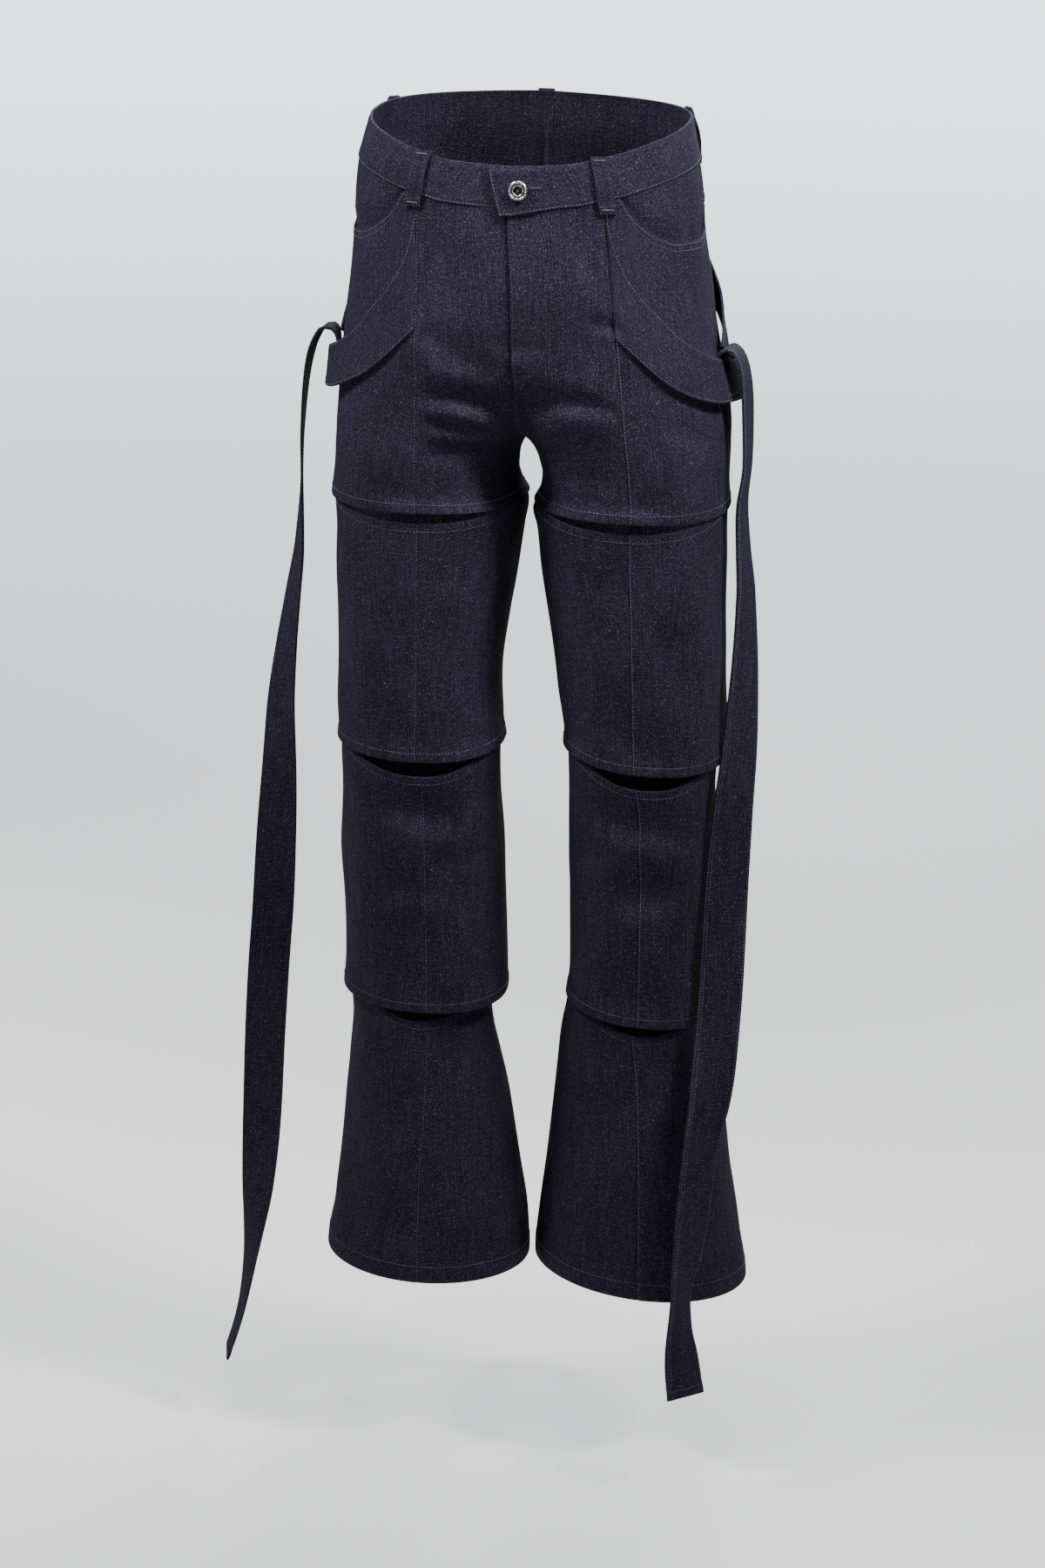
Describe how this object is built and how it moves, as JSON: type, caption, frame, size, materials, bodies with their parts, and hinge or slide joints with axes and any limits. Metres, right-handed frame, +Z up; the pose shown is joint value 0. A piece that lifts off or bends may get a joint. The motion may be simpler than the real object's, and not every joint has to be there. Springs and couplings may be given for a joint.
{
  "type": "wide-leg jeans",
  "caption": "Wide-leg denim jeans with legs cut across into overlapping hemmed tubes, curved hip wings and long hanging side straps.",
  "frame": {"origin": "centre of the waist, at the height of the waistband's top at the sides, where the wearer's waist holds the jeans", "axes": "+Z up, +X towards the wearer's left, -Y the front; mirror would swap the lapped end of the waistband"},
  "size_m": [0.4997, 0.2739, 1.2056],
  "materials": {
    "denim": "raw dark indigo twill, matt",
    "steel": "satin with a dark centre ring"
  },
  "bodies": {
    "root": {"back_strap_left": "denim", "back_strap_right": "denim", "belt_loop_back": "denim", "belt_loop_front_left": "denim", "belt_loop_front_right": "denim", "belt_loop_side_left": "denim", "belt_loop_side_right": "denim", "button": "steel", "calf_back_left": "denim", "calf_back_right": "denim", "calf_front_inner_left": "denim", "calf_front_inner_right": "denim", "calf_front_outer_left": "denim", "calf_front_outer_right": "denim", "flare_back_left": "denim", "flare_back_right": "denim", "flare_front_inner_left": "denim", "flare_front_inner_right": "denim", "flare_front_outer_left": "denim", "flare_front_outer_right": "denim", "fly_facing": "denim", "front_centre_left": "denim", "front_centre_right": "denim", "front_side_left": "denim", "front_side_right": "denim", "pocket_facing_left": "denim", "pocket_facing_right": "denim", "seat_left": "denim", "seat_right": "denim", "strap_tail_left": "denim", "strap_tail_right": "denim", "thigh_back_left": "denim", "thigh_back_right": "denim", "thigh_front_inner_left": "denim", "thigh_front_inner_right": "denim", "thigh_front_outer_left": "denim", "thigh_front_outer_right": "denim", "waistband": "denim", "wing_left": "denim", "wing_right": "denim", "yoke_left": "denim", "yoke_right": "denim"}
  },
  "joints": []
}
